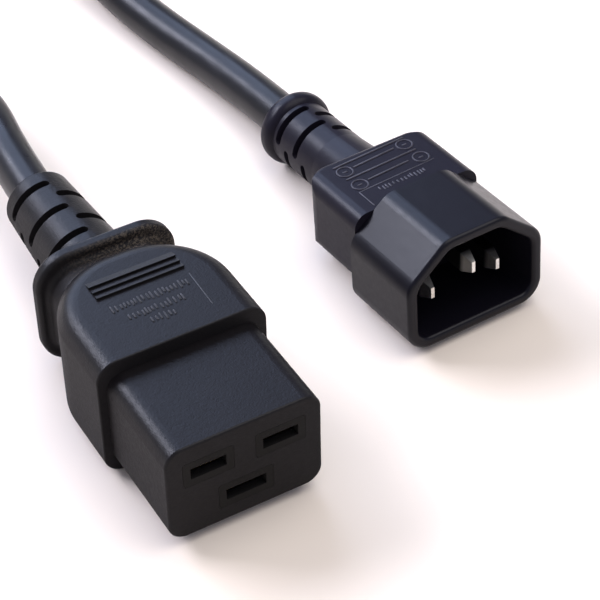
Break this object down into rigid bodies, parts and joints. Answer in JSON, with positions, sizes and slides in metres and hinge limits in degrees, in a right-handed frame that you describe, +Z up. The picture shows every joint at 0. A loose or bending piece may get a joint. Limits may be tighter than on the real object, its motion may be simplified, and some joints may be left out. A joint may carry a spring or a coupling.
{
  "type": "c19 power connector",
  "caption": "Moulded power lead: a C19 connector with contact slots and a slotted strain relief, its round cord coiled and tied, and a C14 plug with pins in a hooded cavity at the far end.",
  "frame": {"origin": "middle of the C19 connector's footprint, on the surface it rests on", "axes": "+Z up; +Y along the C19 connector from its engagement face to its cord, so the contacts open towards -Y; +X to the right seen from the engagement face's side with the strain relief behind"},
  "size_m": [0.1089, 0.2854, 0.0278],
  "materials": {
    "connector_mould": "fine matte moulded PVC, charcoal black",
    "connector_face": "smooth moulded plastic, black",
    "plug_mould": "fine matte moulded PVC, charcoal",
    "plug_shroud": "smooth satin moulded plastic, charcoal",
    "cord_jacket": "extruded PVC jacket, satin black",
    "tie_strap": "matte black strap",
    "contact_metal": "plated spring brass",
    "pin_metal": "nickel plated, drawn",
    "copper": "bare stranded copper",
    "core_brown": "PVC core insulation, brown",
    "core_blue": "PVC core insulation, blue",
    "core_green": "PVC core insulation, green and yellow"
  },
  "bodies": {
    "root": {"c14_earth_conductor": "copper", "c14_earth_insulation": "core_green", "c14_earth_pin": "pin_metal", "c14_jacket_end": "cord_jacket", "c14_line_conductor": "copper", "c14_line_insulation": "core_brown", "c14_line_pin": "pin_metal", "c14_neutral_conductor": "copper", "c14_neutral_insulation": "core_blue", "c14_neutral_pin": "pin_metal", "c14_overmould": "plug_mould", "c14_shroud": "plug_shroud", "c19_contact_carrier": "connector_face", "c19_earth_conductor": "copper", "c19_earth_contact": "contact_metal", "c19_earth_insulation": "core_green", "c19_jacket_end": "cord_jacket", "c19_line_conductor": "copper", "c19_line_contact": "contact_metal", "c19_line_insulation": "core_brown", "c19_neutral_conductor": "copper", "c19_neutral_contact": "contact_metal", "c19_neutral_insulation": "core_blue", "c19_overmould": "connector_mould", "cord_coil": "cord_jacket", "cord_tie": "tie_strap", "cord_tube_connector_side": "cord_jacket", "cord_tube_plug_side": "cord_jacket"}
  },
  "joints": []
}
